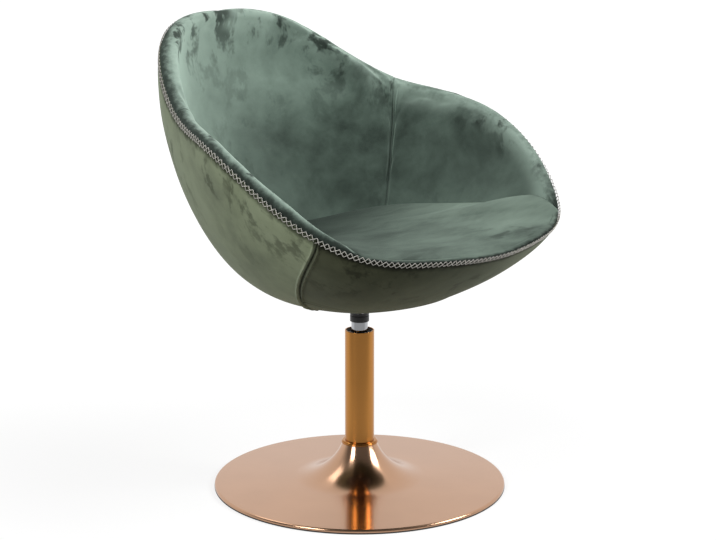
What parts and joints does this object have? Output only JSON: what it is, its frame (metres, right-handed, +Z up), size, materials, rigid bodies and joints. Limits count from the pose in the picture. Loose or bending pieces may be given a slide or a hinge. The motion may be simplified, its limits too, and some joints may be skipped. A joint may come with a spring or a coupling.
{
  "type": "pedestal swivel armchair",
  "caption": "Velvet bucket armchair with rolled rim, cross-stitched edge and loose-look seat cushion, on a swivel column with a wide copper trumpet base.",
  "frame": {"origin": "centre of the round base on the floor, which is a point of the swivel axis", "axes": "+Z up along the swivel axis, -Y towards the chair's front, -X towards the sitter's right"},
  "size_m": [0.688, 0.6506, 0.7955],
  "materials": {
    "copper": "brushed copper-coloured plating, satin",
    "rubber": "matt",
    "steel": "zinc plated",
    "iron": "black primer",
    "chrome": "polished",
    "black_metal": "black powder coat",
    "black_plastic": "matt",
    "shell_plastic": "moulded, matt",
    "plywood": "plain birch plywood",
    "felt": "black felt",
    "velvet_inside": "deep green short-pile velvet with a mottled nap",
    "velvet_outside": "deep green short-pile velvet with a mottled nap"
  },
  "bodies": {
    "base": {"base_disc": "copper", "base_edge_ring": "rubber", "ballast_plate": "iron", "column_flange": "iron", "foot_bolts": "steel", "column_tube": "copper", "column_foot_ring": "copper", "column_floor_plate": "steel", "guide_bush": "black_plastic", "lower_race": "steel"},
    "bearing": {"bearing_cage": "black_plastic", "bearing_balls": "steel"},
    "seat": {"upper_race": "steel", "spindle_tube": "chrome", "spindle_rod": "steel", "stop_washer": "steel", "retaining_clip": "steel", "spindle_socket": "black_metal", "mount_plate": "black_metal", "plate_bolts": "steel", "plate_washers": "steel", "tee_nuts": "steel", "seat_board": "plywood", "dust_cover": "felt", "bucket_shell": "shell_plastic", "back_pad": "velvet_inside", "left_arm_pad": "velvet_inside", "right_arm_pad": "velvet_inside", "front_edge_roll": "velvet_inside", "front_cover": "velvet_outside", "rear_cover": "velvet_outside", "seat_cushion": "velvet_inside"}
  },
  "joints": [
    {"name": "seat_swivel", "type": "hinge", "parent": "base", "child": "seat", "pos_m": [0, 0, 0.022], "axis": [0, 0, 1], "continuous": true},
    {"name": "cage_spin", "type": "hinge", "parent": "base", "child": "bearing", "pos_m": [0, 0, 0.019], "axis": [0, 0, 1], "continuous": true}
  ],
  "couplings": [
    {"joint": "cage_spin", "follows": "seat_swivel", "ratio": 0.5}
  ]
}
